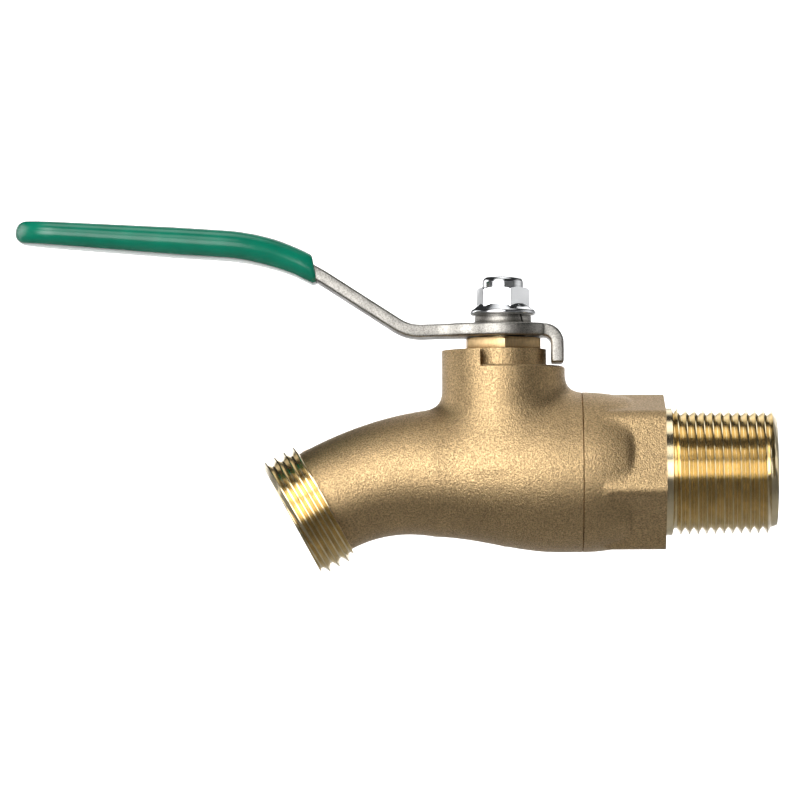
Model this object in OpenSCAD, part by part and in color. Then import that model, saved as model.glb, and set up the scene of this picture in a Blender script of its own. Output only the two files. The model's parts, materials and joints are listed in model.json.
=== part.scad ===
// Quarter-turn ball-valve hose bib, built from its separate pieces.
// Millimetres, +Z up. The origin is on the inlet axis, in the plane of the hex shoulder
// where the inlet thread starts. +X points out along the inlet thread.

/* [Inlet connector] */
// Distance from the hex shoulder back to the stem axis
shoulder_to_stem = 33.8; // [33.5:0.1:35]
// Length of the inlet stub from the shoulder to its end face
inlet_len = 23.5; // [23:0.1:25]
// Diameter across the crests of the inlet pipe thread
inlet_crest_d = 26.5; // [26.4:0.05:26.6]
// Pitch of the inlet pipe thread, 14 to the inch
inlet_pitch = 1.814; // [1.8:0.002:1.82]
// Width across the flats of the wrench hex
hex_af = 30; // [29.8:0.1:30.4]

/* [Body] */
// Outer diameter at the seam between body and connector
seam_d = 33.7; // [33.5:0.1:34.2]
// Outer diameter of the neck that carries the stem
neck_d = 25.9; // [25.5:0.1:26.2]
// Height of the stop ledge on the neck above the inlet axis
ledge_z = 22.3; // [22:0.1:22.6]
// Bore of the waterway
bore_d = 18; // [17:0.5:18.4]

/* [Spout] */
// Downward bend of the spout in degrees
bend_a = 28.5; // [27:0.5:30]
// Radius of the bend along the spout's centre line
bend_r = 48.4; // [48:0.1:50]
// Diameter across the crests of the hose thread
hose_crest_d = 26.8; // [26.6:0.05:26.95]
// Pitch of the hose thread, 11.5 to the inch
hose_pitch = 2.209; // [2.2:0.001:2.215]

/* [Ball and stem] */
// Diameter of the ball
ball_d = 25; // [24.9:0.05:25]
// Diameter of the port through the ball
port_d = 15; // [13:0.5:15]
// Diameter of the stem's shaft
stem_d = 8; // [7.8:0.1:8]

/* [Lever] */
// Thickness of the steel plate
plate_t = 2.65; // [2.5:0.05:2.7]
// Width of the lever's shank
shank_w = 12.5; // [11:0.5:13]
// Width of the vinyl grip
grip_w = 18; // [17:0.5:19]
// Thickness of the vinyl grip
grip_t = 4.8; // [4.6:0.1:5.2]
// Width of the stop tabs bent down from the head
tab_w = 9.8; // [9.4:0.1:9.8]

/* [Hidden] */
$fn = 72;

// colours
cast_brass = "#b39261";
bright_brass = "#c9a25a";
ptfe = "#ece9e0";
nitrile = "#2a2a2c";
satin_steel = "#b9b6b0";
chrome = "#d8dadc";
vinyl = "#077f60";

// running clearance between the turning pieces and the fixed ones
run = 0.05;

// body, in coordinates centred on the ball
seam_x = 16.3;
full_x = 12;
bend_x = -14.5;
root_x = -16;
spout_r = 13.4;
throat_r = 11.3;
rings = 14;
ring_sides = 40;
hub_r = 9.05;
hub_z = 25.9;
stop_z = 25.7;
stop_x = -5;
neck_from = 4;

// waterway and ball chamber
ball_r = ball_d / 2;
chamber_r = ball_r + 0.65;
bore_r = bore_d / 2;
mouth_r = 9.5;
mouth_len = 8;
seat_in_r = 8;
seat_out_r = 12;
seat_face_x = 7.6;
seat_back_x = 11.4;
joint_r = 14.6;
joint_x = 8.6;
joint_gap = 0.05;
groove_x = 14.6;
groove_w = 1.8;
groove_r = 13;

// stem, packing and their bores, heights above the inlet axis
stem_r = stem_d / 2;
slot_w = 5;
slot_z = 9.5;
tang_len = 9;
flange_r = 6;
flange_z = 13.4;
washer_z = 15;
shoulder_z = 15.5;
packing_z = 17.6;
packing_r = 6.3;
ring_h = 1.25;
adapter_h = 1;
gland_h = 1;
nut_thread_z = 21.9;
nut_thread_r = 6.9;
nut_hex_z = 26;
nut_hex_h = 2.3;
nut_af = 15.4;

// hose thread
hose_root_r = 11.95;
hose_land = 0.36;
hose_turns = 4;
hose_first = 0.75;

// inlet thread
inlet_root_r = 12.15;
inlet_land = 0.3;
inlet_turns = 11;
inlet_first = 2.5;
collar_r = 13.38;
collar_len = 1.6;
hex_from = 20.5;
hex_turn = -14.5;
barrel_arc_r = 26.5;

// lever, heights above the inlet axis
lever_z = 28.6;
mid_z = lever_z + plate_t / 2;
head_r = 10.6;
head_end = 8.55;
tab_bend_r = 1.5;
tab_z = 23;
flat_af = 6;
// each leg of the side profile: straight run, turn in degrees and radius of the turn
legs = [[0, -1.5, 20], [8.7, 34.5, 9], [17.15, -29.1, 46], [43.2, 0, 1]];
legs_from = [-8, mid_z];
arc_steps = 8;
grip_from = -40.6;
tip_x = -101.9;
grip_skin = (grip_t - plate_t) / 2;

// lock nut
stack_z = lever_z + plate_t;
spring_t = 1.75;
nut_z = stack_z + spring_t;
stud_r = 2.95;
lock_af = 10;
lock_flange_r = 7;
lock_top_r = 4.2;
lock_h = 8;
insert_h = 1.8;

// ---- helpers ----

// from coordinates centred on the ball to the part's own frame
module at_ball() {
    translate([-shoulder_to_stem, 0, 0]) children();
}

// turns local +Z to +X
module about_x() {
    rotate([0, 90, 0]) children();
}

// a straight tube between two heights
module tube(r_out, r_in, z0, z1) {
    translate([0, 0, z0]) difference() {
        cylinder(r = r_out, h = z1 - z0);
        translate([0, 0, -1]) cylinder(r = r_in, h = z1 - z0 + 2);
    }
}

// centre of the spout at bend angle a
function bend_point(a) = [bend_x - bend_r * sin(a), 0, -bend_r * (1 - cos(a))];

// the mouth's own axes: local origin at the end of the bend, local +Z out of the mouth
module at_mouth() {
    translate(bend_point(bend_a)) rotate([0, -(90 + bend_a), 0]) children();
}

// ---- valve body ----

// barrel radius along the inlet axis, full at the seam and slimmer towards the spout
function barrel_r(x) = spout_r + (seam_d / 2 - spout_r)
    * (x > full_x ? 1 : (1 + cos(180 * (full_x - x) / (full_x - root_x))) / 2);

module barrel() {
    steps = 14;
    end_x = bend_x - 0.35;
    about_x() rotate_extrude() polygon(concat(
        [[0, end_x]],
        [for (i = [0:steps]) let (x = end_x + (full_x - end_x) * i / steps) [barrel_r(x), x]],
        [[seam_d / 2, seam_x - 0.3], [seam_d / 2 - 0.3, seam_x], [0, seam_x]]));
}

// one ring of points around the spout; ring 0 is buried in the barrel
function spout_ring(k) =
    let (f = max(k - 1, 0) / (rings - 1), a = bend_a * f,
         c = bend_point(a) + [k == 0 ? 3 : 0, 0, 0], start_r = barrel_r(bend_x) - 0.12,
         r = start_r + (throat_r - start_r) * sin(90 * f))
    [for (j = [0:ring_sides - 1]) let (b = 360 * j / ring_sides)
        [c[0] - r * cos(b) * sin(a), r * sin(b), c[2] + r * cos(b) * cos(a)]];

module spout() {
    points = [for (k = [0:rings]) each spout_ring(k)];
    sides = [for (k = [0:rings - 1]) for (j = [0:ring_sides - 1])
        let (n = (j + 1) % ring_sides, a = k * ring_sides)
        [a + j, a + j + ring_sides, a + n + ring_sides, a + n]];
    first = [for (j = [0:ring_sides - 1]) j];
    last = [for (j = [1:ring_sides]) (rings + 1) * ring_sides - j];
    polyhedron(points, concat(sides, [first, last]));
}

module hose_thread() {
    half = hose_pitch / 2 - hose_land / 2 - 0.15;
    at_mouth() rotate_extrude() polygon(concat(
        [[0, -0.5], [throat_r - 0.6, -0.5], [throat_r - 0.6, -0.05], [hose_root_r, -0.05]],
        [for (i = [0:hose_turns - 1]) let (z = hose_first + i * hose_pitch) each [
            [hose_root_r, max(z - hose_land / 2 - half, 0.05)],
            [hose_crest_d / 2, z - hose_land / 2],
            [hose_crest_d / 2, z + hose_land / 2],
            [hose_root_r, min(z + hose_land / 2 + half, mouth_len)]]],
        [[0, mouth_len]]));
}

module neck() {
    translate([0, 0, neck_from]) cylinder(d = neck_d, h = stop_z - neck_from);
    translate([0, 0, neck_from]) cylinder(r = hub_r, h = hub_z - neck_from);
}

// the neck is cut down to the ledge everywhere but under the stop wall on the spout side
module ledge_cut() {
    difference() {
        translate([stop_x, -20, ledge_z]) cube([40, 40, 10]);
        cylinder(r = hub_r, h = 60);
    }
}

// one turned cavity: outlet seat pocket, ball chamber, and the bore the connector screws into
module ball_chamber() {
    steps = 8;
    pocket_r = seat_out_r + joint_gap;
    start = -acos(pocket_r / chamber_r);
    about_x() rotate_extrude() polygon(concat(
        [[0, -seat_back_x], [pocket_r, -seat_back_x]],
        [for (i = [0:steps]) let (a = start * (1 - i / steps)) chamber_r * [cos(a), sin(a)]],
        [[chamber_r, joint_x], [joint_r + joint_gap, joint_x],
         [joint_r + joint_gap, seam_x + 1], [0, seam_x + 1]]));
}

module spout_waterway() {
    about_x() translate([0, 0, bend_x - 0.5]) cylinder(r = bore_r + 0.2, h = 6);
    translate([bend_x, 0, -bend_r]) rotate([90, 0, 0]) rotate([0, 0, 90])
        rotate_extrude(angle = bend_a) translate([bend_r, 0]) circle(r = bore_r);
    at_mouth() translate([0, 0, -0.5]) cylinder(r = mouth_r, h = 20);
}

module stem_bores() {
    translate([0, 0, 8]) cylinder(r = flange_r + 0.2, h = shoulder_z - 8);
    translate([0, 0, 14]) cylinder(r = stem_r + run, h = 6);
    translate([0, 0, packing_z]) cylinder(r = packing_r, h = 12);
    translate([0, 0, nut_thread_z]) cylinder(r = nut_thread_r, h = 12);
}

module valve_body() {
    color(cast_brass) at_ball() difference() {
        union() {
            barrel();
            spout();
            hose_thread();
            neck();
        }
        ledge_cut();
        ball_chamber();
        spout_waterway();
        stem_bores();
    }
}

// ---- end connector ----

// barrel profile of the connector, a shallow arc that starts tangent at the seam
function arc_drop(x) = barrel_arc_r - sqrt(barrel_arc_r * barrel_arc_r - x * x);

module connector_outside() {
    steps = 8;
    hex_r = hex_af / 2 / cos(30);
    shoulder_x = shoulder_to_stem;
    arc_len = 10.6;
    about_x() rotate_extrude() polygon(concat(
        [[0, seam_x], [seam_d / 2 - 0.3, seam_x], [seam_d / 2, seam_x + 0.3]],
        [for (i = [1:steps]) let (d = arc_len * i / steps) [seam_d / 2 - arc_drop(d), seam_x + d]],
        [[0, seam_x + arc_len]]));
    about_x() intersection() {
        translate([0, 0, hex_from]) rotate([0, 0, hex_turn])
            cylinder(r = hex_r, h = shoulder_x - hex_from, $fn = 6);
        rotate_extrude() polygon([[0, hex_from], [16.2, hex_from], [hex_r + 0.1, hex_from + 1.8],
            [hex_r + 0.1, shoulder_x + 1], [0, shoulder_x + 1]]);
    }
}

// collar, then crests that stand in rings one pitch apart
module inlet_thread() {
    half = inlet_pitch / 2 - inlet_land / 2 - 0.12;
    translate([shoulder_to_stem, 0, 0]) about_x() rotate_extrude() polygon(concat(
        [[0, -1], [collar_r, -1], [collar_r, collar_len], [inlet_root_r, collar_len + 0.1]],
        [for (i = [0:inlet_turns - 1]) let (z = inlet_first + i * inlet_pitch) each [
            [inlet_root_r, z - inlet_land / 2 - half],
            [inlet_crest_d / 2, z - inlet_land / 2],
            [inlet_crest_d / 2, z + inlet_land / 2],
            [inlet_root_r, z + inlet_land / 2 + half]]],
        [[inlet_root_r, inlet_len - 1], [inlet_root_r - 0.6, inlet_len], [0, inlet_len]]));
}

// the part that screws into the body and backs the inlet seat
module spigot() {
    about_x() translate([0, 0, joint_x]) cylinder(r = joint_r, h = seam_x - joint_x + 1);
}

// groove for the joint's O-ring, open towards the seam
module joint_groove() {
    about_x() difference() {
        translate([0, 0, groove_x - groove_w / 2]) cylinder(r = 20, h = groove_w);
        translate([0, 0, groove_x - groove_w]) cylinder(r = groove_r, h = 2 * groove_w);
    }
}

module end_connector() {
    color(cast_brass) at_ball() difference() {
        union() {
            connector_outside();
            inlet_thread();
            difference() {
                spigot();
                joint_groove();
            }
        }
        about_x() cylinder(r = mouth_r, h = 80);
        about_x() cylinder(r = seat_out_r + joint_gap, h = seat_back_x);
    }
}

module joint_o_ring() {
    section = 1.6;
    color(nitrile) at_ball() about_x() translate([0, 0, groove_x])
        rotate_extrude() translate([groove_r + section / 2 + 0.01, 0]) circle(d = section, $fn = 24);
}

// ---- ball and seats ----

module ball() {
    color(chrome) at_ball() difference() {
        sphere(r = ball_r);
        about_x() translate([0, 0, -20]) cylinder(d = port_d, h = 40);
        translate([-slot_w / 2, -20, slot_z]) cube([slot_w, 40, 10]);
    }
}

// a seat ring whose inner face fits the ball
module seat() {
    difference() {
        about_x() translate([0, 0, seat_face_x])
            cylinder(r = seat_out_r, h = seat_back_x - seat_face_x);
        about_x() cylinder(r = seat_in_r, h = 20);
        sphere(r = ball_r + run);
    }
}

module outlet_seat() {
    color(ptfe) at_ball() mirror([1, 0, 0]) seat();
}

module inlet_seat() {
    color(ptfe) at_ball() seat();
}

// ---- stem and its packing ----

// shaft with two flats above the shoulder the lever sits on, then the stud
module stem() {
    shaft_z = lever_z + plate_t - 0.15;
    stud_top = nut_z + lock_h - 0.6;
    color(bright_brass) at_ball() difference() {
        union() {
            intersection() {
                translate([-slot_w / 2 + run, -tang_len / 2, slot_z + 0.1])
                    cube([slot_w - 2 * run, tang_len, 5]);
                cylinder(r = flange_r, h = 30);
            }
            translate([0, 0, flange_z]) cylinder(r = flange_r, h = washer_z - run - flange_z);
            translate([0, 0, flange_z]) cylinder(r = stem_r, h = shaft_z - flange_z);
            translate([0, 0, flange_z]) cylinder(r = stud_r, h = stud_top - flange_z);
        }
        for (s = [-1, 1]) translate([-10, s > 0 ? flat_af / 2 : -10 - flat_af / 2, lever_z])
            cube([20, 10, shaft_z - lever_z]);
        tube(10, stem_r - 0.75, 16.0, 17.1);
    }
}

module thrust_washer() {
    color(ptfe) at_ball() tube(flange_r, stem_r + run, washer_z, shoulder_z);
}

module stem_o_ring() {
    section_r = 0.37;
    color(nitrile) at_ball() translate([0, 0, 16.55])
        rotate_extrude() translate([stem_r - 0.75 + section_r, 0]) circle(r = section_r, $fn = 24);
}

// an open ring of the packing stack, with a raised or hollowed face each side
module packing_ring(z, h, vee) {
    r_in = stem_r + run;
    r_mid = (r_in + packing_r) / 2;
    r_out = packing_r - 0.02;
    color(ptfe) at_ball() rotate_extrude() polygon([
        [r_in, z], [r_mid, z + vee], [r_out, z], [r_out, z + h], [r_mid, z + h + vee], [r_in, z + h]]);
}

module packing_adapter() {
    r_in = stem_r + run;
    r_mid = (r_in + packing_r) / 2;
    r_out = packing_r - 0.02;
    top = packing_z + adapter_h;
    color(ptfe) at_ball() rotate_extrude() polygon([
        [r_in, packing_z], [r_out, packing_z], [r_out, top], [r_mid, top + 0.4], [r_in, top]]);
}

module packing_ring_lower() {
    packing_ring(packing_z + adapter_h, ring_h, 0.4);
}

module packing_ring_middle() {
    packing_ring(packing_z + adapter_h + ring_h, ring_h, 0.4);
}

module packing_ring_upper() {
    packing_ring(packing_z + adapter_h + 2 * ring_h, ring_h, 0.4);
}

module gland_ring() {
    z = packing_z + adapter_h + 3 * ring_h;
    r_in = stem_r + 0.1;
    r_mid = (stem_r + run + packing_r) / 2;
    r_out = packing_r - 0.05;
    foot = z + 0.02;
    color(bright_brass) at_ball() rotate_extrude() polygon([
        [r_in, foot], [r_mid, foot + 0.4], [r_out, foot], [r_out, z + gland_h], [r_in, z + gland_h]]);
}

// a hollow nut: its shank screws into the hub and presses the packing down
module packing_nut() {
    shank_z = packing_z + adapter_h + 3 * ring_h + gland_h;
    top = nut_hex_z + nut_hex_h;
    hex_r = nut_af / 2 / cos(30);
    color(bright_brass) at_ball() difference() {
        union() {
            intersection() {
                translate([0, 0, nut_hex_z]) rotate([0, 0, 30])
                    cylinder(r = hex_r, h = nut_hex_h, $fn = 6);
                translate([0, 0, nut_hex_z]) cylinder(r1 = hex_r + 2, r2 = hex_r - 0.35, h = nut_hex_h);
            }
            translate([0, 0, shank_z]) cylinder(r = nut_thread_r - 0.02, h = nut_hex_z - shank_z + 1);
        }
        translate([0, 0, shank_z - 1]) cylinder(r = stem_r + 0.1, h = top - shank_z + 2);
    }
}

// ---- lever ----

// end of an arc that starts at p with heading a, turns by t and has radius r; the lever
// runs towards -X, so a heading of 0 points there and a positive turn climbs
function heading(a) = [-cos(a), sin(a)];
function side(a) = [-sin(a), -cos(a)];
function arc_point(p, a, t, r) = p + sign(t) * r * (side(a + t) - side(a));

// centre line as a list of [point, heading]
function walk(i, p, a) =
    let (q = p + legs[i][0] * heading(a), t = legs[i][1], r = legs[i][2])
    t == 0 ? [[q, a]] :
    concat([[q, a]],
           [for (k = [1:arc_steps - 1]) [arc_point(q, a, t * k / arc_steps, r), a + t * k / arc_steps]],
           walk(i + 1, arc_point(q, a, t, r), a + t));

centre_line = walk(0, legs_from, 0);

// side outline of a plate of thickness t along the centre line, standing on the XZ plane
module side_band(t, from_x) {
    top = [for (c = centre_line) c[0] - side(c[1]) * t / 2];
    under = [for (i = [len(centre_line) - 1:-1:0])
        centre_line[i][0] + side(centre_line[i][1]) * t / 2];
    rotate([90, 0, 0]) translate([0, 0, -20]) linear_extrude(40)
        polygon(concat([[from_x, mid_z + t / 2]], top, under, [[from_x, mid_z - t / 2]]));
}

// outline from above of the head, the shank and the wider blade inside the grip
module plan(width, blade_w, blade_from, tip) {
    intersection() {
        circle(r = head_r);
        translate([-20, -20]) square([20 + head_end, 20 + head_end]);
    }
    blade_r = blade_w / 2;
    polygon(concat(
        [[-3, head_r - 0.4], [-15, width / 2], [blade_from, width / 2], [blade_from - 16, blade_r]],
        [for (a = [90:15:270]) [tip + blade_r + blade_r * cos(a), blade_r * sin(a)]],
        [[blade_from - 16, -blade_r], [blade_from, -width / 2], [-15, -width / 2],
         [-3, -head_r + 0.4]]));
}

module lever_plate() {
    blade_w = grip_w - 2 * grip_skin;
    intersection() {
        side_band(plate_t, head_end);
        linear_extrude(80) plan(shank_w, blade_w, grip_from, tip_x);
    }
}

// a stop tab bent down from the edge of the head, on the +X side
module stop_tab() {
    outer = tab_bend_r + plate_t;
    translate([head_end, tab_w / 2, lever_z - tab_bend_r]) rotate([90, 0, 0]) {
        rotate_extrude(angle = 90) translate([tab_bend_r, 0]) square([plate_t, tab_w]);
        translate([tab_bend_r, tab_z - lever_z + tab_bend_r, 0])
            cube([plate_t, lever_z - tab_bend_r - tab_z, tab_w]);
    }
}

module lever() {
    hole_r = stem_r + 0.05;
    color(satin_steel) at_ball() difference() {
        union() {
            lever_plate();
            stop_tab();
            rotate([0, 0, 90]) stop_tab();
        }
        intersection() {
            translate([0, 0, lever_z - 1]) cylinder(r = hole_r, h = 6);
            translate([-10, -flat_af / 2 - 0.05, lever_z - 1]) cube([20, flat_af + 0.1, 6]);
        }
    }
}

// dipped vinyl sleeve over the blade
module lever_grip() {
    color(vinyl) at_ball() difference() {
        intersection() {
            union() {
                side_band(grip_t, head_end);
                translate([tip_x + 1.2, 0, centre_line[len(centre_line) - 1][0][1]])
                    rotate([90, 0, 0]) translate([0, 0, -20]) cylinder(d = grip_t, h = 40);
            }
            translate([0, 0, 20]) linear_extrude(60) difference() {
                plan(shank_w + 2 * grip_skin, grip_w, grip_from, tip_x - grip_skin);
                translate([grip_from, -20]) square([80, 40]);
            }
        }
        lever_plate();
    }
}

// ---- lever fixings ----

module spring_washer() {
    gap = 0.8;
    color(satin_steel) at_ball() difference() {
        tube(6, stud_r + 0.35, stack_z, nut_z);
        rotate([0, 0, -50]) translate([0, -gap / 2, stack_z - 1]) cube([10, gap, 5]);
    }
}

module lock_nut() {
    hex_r = lock_af / 2 / cos(30);
    hex_z = nut_z + 0.8;
    hex_top = nut_z + 5.9;
    color(chrome) at_ball() difference() {
        union() {
            translate([0, 0, nut_z]) rotate_extrude() polygon([[0, 0], [6.6, 0], [lock_flange_r, 0.35],
                [lock_flange_r, 0.75], [5.4, 1.6], [0, 1.6]]);
            intersection() {
                translate([0, 0, hex_z]) rotate([0, 0, -14.6]) cylinder(r = hex_r, h = 5.1, $fn = 6);
                translate([0, 0, hex_top - 5.1]) cylinder(r1 = hex_r + 3, r2 = hex_r - 0.6, h = 5.1);
            }
            translate([0, 0, nut_z]) rotate_extrude() polygon([[0, 1], [lock_top_r, 1],
                [lock_top_r, lock_h - 1], [lock_top_r - 0.4, lock_h - 0.25],
                [lock_top_r - 1, lock_h], [0, lock_h]]);
        }
        translate([0, 0, nut_z - 1]) cylinder(r = stud_r + 0.02, h = 20);
        translate([0, 0, nut_z + lock_h - 0.4 - insert_h]) cylinder(r = 3.5, h = insert_h);
    }
}

module lock_nut_insert() {
    z = nut_z + lock_h - 0.4;
    color("#2f6fb5") at_ball() tube(3.5, stud_r + 0.02, z - insert_h, z);
}

valve_body();
end_connector();
joint_o_ring();
ball();
outlet_seat();
inlet_seat();
stem();
thrust_washer();
stem_o_ring();
packing_adapter();
packing_ring_lower();
packing_ring_middle();
packing_ring_upper();
gland_ring();
packing_nut();
lever();
lever_grip();
spring_washer();
lock_nut();
lock_nut_insert();
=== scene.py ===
"""Quarter-turn ball-valve hose bib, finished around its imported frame.

Shapes are worked out in millimetres from the ball's centre, +X towards the inlet and +Z up the
stem, and finish_piece() turns them into metres in the frame's own place.
"""

import json
from math import acos, atan2, cos, pi, radians, sin, sqrt, tan, tau

import bmesh
import bpy
import numpy as np
from bpy.props import FloatProperty, FloatVectorProperty, IntProperty, PointerProperty
from mathutils import Matrix, Vector


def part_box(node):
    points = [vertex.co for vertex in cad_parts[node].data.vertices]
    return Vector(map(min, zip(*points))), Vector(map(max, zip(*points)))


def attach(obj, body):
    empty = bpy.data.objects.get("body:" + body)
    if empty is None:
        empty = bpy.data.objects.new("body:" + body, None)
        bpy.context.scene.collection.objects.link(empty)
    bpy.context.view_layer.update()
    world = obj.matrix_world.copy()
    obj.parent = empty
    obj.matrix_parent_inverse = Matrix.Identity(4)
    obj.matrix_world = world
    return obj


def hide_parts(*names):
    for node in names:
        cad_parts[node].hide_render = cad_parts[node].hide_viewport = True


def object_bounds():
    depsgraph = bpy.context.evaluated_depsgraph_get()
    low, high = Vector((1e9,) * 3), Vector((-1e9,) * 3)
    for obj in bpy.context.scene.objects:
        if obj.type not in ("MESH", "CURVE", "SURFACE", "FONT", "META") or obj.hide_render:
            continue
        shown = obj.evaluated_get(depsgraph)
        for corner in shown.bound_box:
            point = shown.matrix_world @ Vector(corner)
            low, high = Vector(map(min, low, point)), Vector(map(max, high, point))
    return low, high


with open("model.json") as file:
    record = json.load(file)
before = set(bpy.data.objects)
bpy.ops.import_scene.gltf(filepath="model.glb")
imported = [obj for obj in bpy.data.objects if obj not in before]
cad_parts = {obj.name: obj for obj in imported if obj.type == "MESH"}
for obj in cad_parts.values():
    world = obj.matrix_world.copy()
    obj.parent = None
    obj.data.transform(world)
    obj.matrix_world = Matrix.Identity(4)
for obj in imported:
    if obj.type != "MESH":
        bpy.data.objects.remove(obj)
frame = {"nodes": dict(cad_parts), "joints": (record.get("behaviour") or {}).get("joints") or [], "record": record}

bl_info = {
    "name": "Hose bib",
    "version": (1, 0, 0),
    "blender": (4, 5, 0),
    "location": "3D View > Sidebar > Hose bib",
    "description": "Builds a quarter-turn hose bib with its lever, fixings and studio",
    "category": "Add Mesh",
}

MM = 0.001
CAD_BOX = [list(corner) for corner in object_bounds()]
LEVER_JOINT = next(joint for joint in frame["joints"] if joint["name"] == "lever_turn")
STEM = Vector(LEVER_JOINT["pos_m"])
MOUTH = next(mount for mount in frame["record"]["mounts"] if mount["name"] == "hose_thread")


def span(node):
    """Lowest and highest corner of a CAD node, in millimetres from the ball's centre."""
    low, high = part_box(node)
    return (low - STEM) / MM, (high - STEM) / MM


# heights and places that the frame fixes
SEAM_X = span("valve_body")[1].x
HUB_TOP = span("valve_body")[1].z
INLET_END = span("end_connector")[1].x
SHOULDER_X = -STEM.x / MM
NUT_TOP = span("packing_nut")[1].z
PLATE_TOP = span("spring_washer")[0].z
WASHER_TOP = span("spring_washer")[1].z
LOCK_TOP = span("lock_nut")[1].z
TAB_FOOT = span("lever")[0].z
STUD_TOP = span("stem")[1].z
MOUTH_CENTRE = (Vector(MOUTH["pos_m"]) - STEM) / MM
MOUTH_AXIS = Vector(MOUTH["axis"]).normalized()
BEND = atan2(-MOUTH_AXIS.z, -MOUTH_AXIS.x)


# ---------------------------------------------------------------- sizes and colours


def length(name, description, millimetres, low=0.0, high=1000.0):
    """A length property, kept in metres and given here in millimetres."""
    return FloatProperty(name=name, description=description, default=millimetres * MM,
                         min=low * MM, max=high * MM, unit="LENGTH", precision=5)


def colour(name, description, rgb):
    """A colour property without alpha."""
    return FloatVectorProperty(name=name, description=description, default=rgb, size=3,
                               min=0.0, max=1.0, subtype="COLOR")


class BodySizes(bpy.types.PropertyGroup):
    """Sizes of the cast body and its spout"""

    flange_radius: length("Flange radius", "Outer radius of the barrel at the seam", 16.84)
    spout_radius: length("Spout radius", "Outer radius where the barrel meets the spout", 13.4)
    throat_radius: length("Throat radius", "Outer radius just behind the hose thread", 11.45)
    bend_radius: length("Bend radius", "Radius of the spout's bend along its centre line", 48.4)
    bend_start: length("Bend start", "Distance from the stem axis to the start of the bend", 14.5)
    neck_radius: length("Neck radius", "Outer radius of the neck", 12.95)
    hub_radius: length("Hub radius", "Outer radius of the hub inside the stop ledge", 9.05)
    ledge_height: length("Ledge height", "Height of the stop ledge over the inlet axis", 22.3)
    stop_height: length("Stop height", "Height of the stop wall over the inlet axis", 25.7)
    stop_offset: length("Stop offset", "Distance from the stem axis to the ends of the stop wall", 5.0)
    fillet: length("Fillet", "Radius of the fillet between neck and barrel", 3.3)
    waterway_radius: length("Waterway radius", "Radius of the waterway in the spout", 9.0)
    mouth_radius: length("Mouth radius", "Radius of the waterway at the mouth", 9.5)
    grid: length("Casting grid", "Edge length of the casting's surface grid", 0.42)


class ThreadSizes(bpy.types.PropertyGroup):
    """Sizes of the hose thread and the inlet thread"""

    hose_crest: length("Hose crest radius", "Radius over the hose thread's crests", 13.4)
    hose_root: length("Hose root radius", "Radius at the hose thread's root", 11.95)
    hose_pitch: length("Hose pitch", "Pitch of the hose thread", 2.209)
    hose_length: length("Hose thread length", "Length of the threaded mouth", 8.0)
    pipe_crest: length("Pipe crest radius", "Radius over the first crest of the inlet thread", 13.34)
    pipe_root: length("Pipe root radius", "Radius at the inlet thread's root", 11.95)
    pipe_pitch: length("Pipe pitch", "Pitch of the inlet thread", 1.814)
    collar_radius: length("Collar radius", "Radius of the plain collar at the shoulder", 13.4)
    collar_length: length("Collar length", "Length of the plain collar", 1.6)


class ConnectorSizes(bpy.types.PropertyGroup):
    """Sizes of the end connector's casting"""

    hex_flats: length("Hex width", "Width across the flats of the wrench hex", 30.0)
    hex_start: length("Hex start", "Distance from the stem axis to the start of the hex", 20.5)
    barrel_arc: length("Barrel arc", "Radius of the barrel's outline past the seam", 40.0)
    hex_turn: FloatProperty(name="Hex turn", description="Turn of the hex about the inlet axis",
                            default=radians(-14.5), subtype="ANGLE")
    blend: length("Blend", "Softness of the cast corner between barrel and hex", 0.45)


class LeverSizes(bpy.types.PropertyGroup):
    """Sizes of the stamped lever and its grip"""

    plate: length("Plate thickness", "Thickness of the steel plate", 2.65)
    head_radius: length("Head radius", "Radius of the lever's head", 10.6)
    head_end: length("Head end", "Distance from the stem axis to the square end of the head", 8.55)
    shank_width: length("Shank width", "Width of the lever's shank", 12.5)
    grip_width: length("Grip width", "Width of the dipped grip", 18.0)
    grip_thickness: length("Grip thickness", "Thickness of the dipped grip", 4.8)
    grip_start: length("Grip start", "Distance from the stem axis to the open end of the grip", 40.6)
    tab_width: length("Tab width", "Width of the stop tabs", 9.8)
    tab_bend: length("Tab bend", "Inner radius of the stop tabs' bend", 1.5)
    edge: length("Tumbled edge", "Radius of the plate's tumbled edges", 0.45)


class FixingSizes(bpy.types.PropertyGroup):
    """Sizes of the packing nut, the spring washer, the lock nut and the stud"""

    packing_flats: length("Packing nut width", "Width across the packing nut's flats", 15.4)
    packing_hex_from: length("Packing nut seat", "Height of the packing nut's underside", 26.0)
    stem_radius: length("Stem radius", "Radius of the stem's shaft", 4.0)
    stud_radius: length("Stud radius", "Outer radius of the stud's thread", 2.95)
    lock_flats: length("Lock nut width", "Width across the lock nut's flats", 10.0)
    lock_flange: length("Lock nut flange", "Radius of the lock nut's flange", 7.0)
    lock_crown: length("Lock nut crown", "Radius of the crown over the nylon insert", 4.4)
    washer_outer: length("Washer radius", "Outer radius of the spring washer", 6.0)
    washer_inner: length("Washer hole", "Radius of the spring washer's hole", 3.3)


class Finishes(bpy.types.PropertyGroup):
    """Base colours of the materials, linear"""

    cast_brass: colour("Cast brass", "Blasted brass casting", (0.680, 0.475, 0.245))
    machined_brass: colour("Machined brass", "Cut brass thread", (0.870, 0.730, 0.465))
    steel: colour("Steel", "Tumbled steel plate", (0.465, 0.443, 0.405))
    chrome: colour("Chrome", "Bright plating", (0.860, 0.870, 0.880))
    vinyl: colour("Vinyl", "Dipped vinyl", (0.002, 0.215, 0.125))
    ptfe: colour("PTFE", "Seats and packing", (0.840, 0.830, 0.790))
    nitrile: colour("Nitrile", "O-rings", (0.020, 0.020, 0.021))
    nylon: colour("Nylon", "Insert of the lock nut", (0.040, 0.170, 0.480))
    floor: colour("Floor", "Studio floor and backdrop", (0.860, 0.860, 0.860))


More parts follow.
